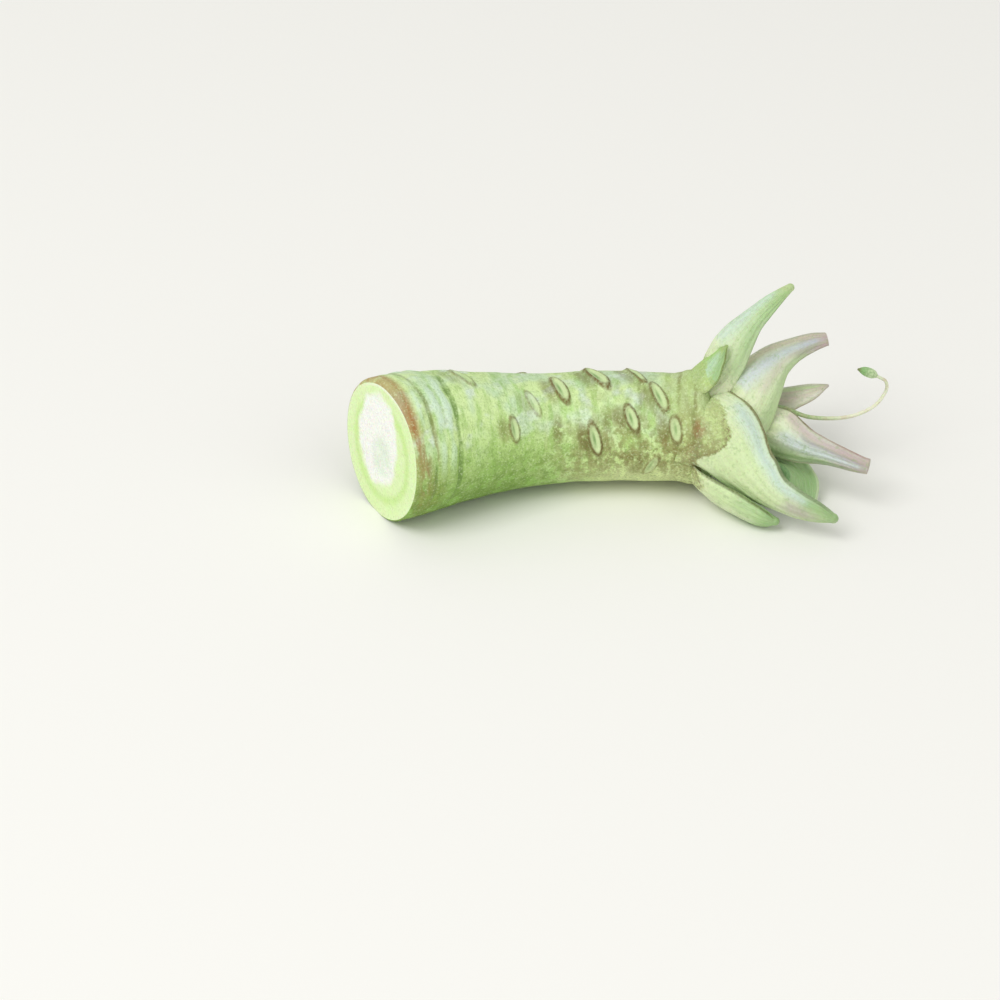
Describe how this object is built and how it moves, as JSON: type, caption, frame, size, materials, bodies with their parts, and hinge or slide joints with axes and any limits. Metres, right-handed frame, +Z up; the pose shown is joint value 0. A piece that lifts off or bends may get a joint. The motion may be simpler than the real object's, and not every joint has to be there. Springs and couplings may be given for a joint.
{
  "type": "wasabi root",
  "caption": "Fresh wasabi rhizome lying on its side, cut across at one end, with leaf scars, a crown of trimmed leaf stalks and a thin young leaf.",
  "frame": {"origin": "under the middle of the whole root's box, on the surface that it lies on", "axes": "+X along the root from the cut end to the crown, +Z up, and -Y is the side that shows the cut face and the front leaf stalk"},
  "size_m": [0.1256, 0.0534, 0.0498],
  "materials": {
    "rhizome_skin": "fresh plant skin, pale green with brown leaf scars, slightly waxy; the cut end is pale green flesh",
    "leaf_stalk": "smooth ribbed leaf stalk, cream at its base and green at its tip, with a soft waxy sheen",
    "purple_leaf_stalk": "smooth ribbed leaf stalk, cream green at its base and dusty purple at its tip, with a soft waxy sheen",
    "old_leaf_scale": "thin green leaf remnant",
    "young_stalk": "thin juicy stalk, pale yellow green",
    "young_blade": "folded young leaf, mid green, matt"
  },
  "bodies": {
    "root": {"rhizome": "rhizome_skin", "leaf_stalk_front": "leaf_stalk", "leaf_stalk_top": "leaf_stalk", "old_leaf_scale": "old_leaf_scale", "leaf_stalk_upper": "purple_leaf_stalk", "leaf_stalk_inner_front": "purple_leaf_stalk", "leaf_stub_inner_back": "purple_leaf_stalk", "leaf_stalk_lower_front": "leaf_stalk", "leaf_stalk_lower": "leaf_stalk", "leaf_stalk_lower_back": "leaf_stalk", "leaf_stalk_back": "leaf_stalk", "young_leaf_stalk": "young_stalk", "young_leaf_bud": "young_blade"}
  },
  "joints": []
}
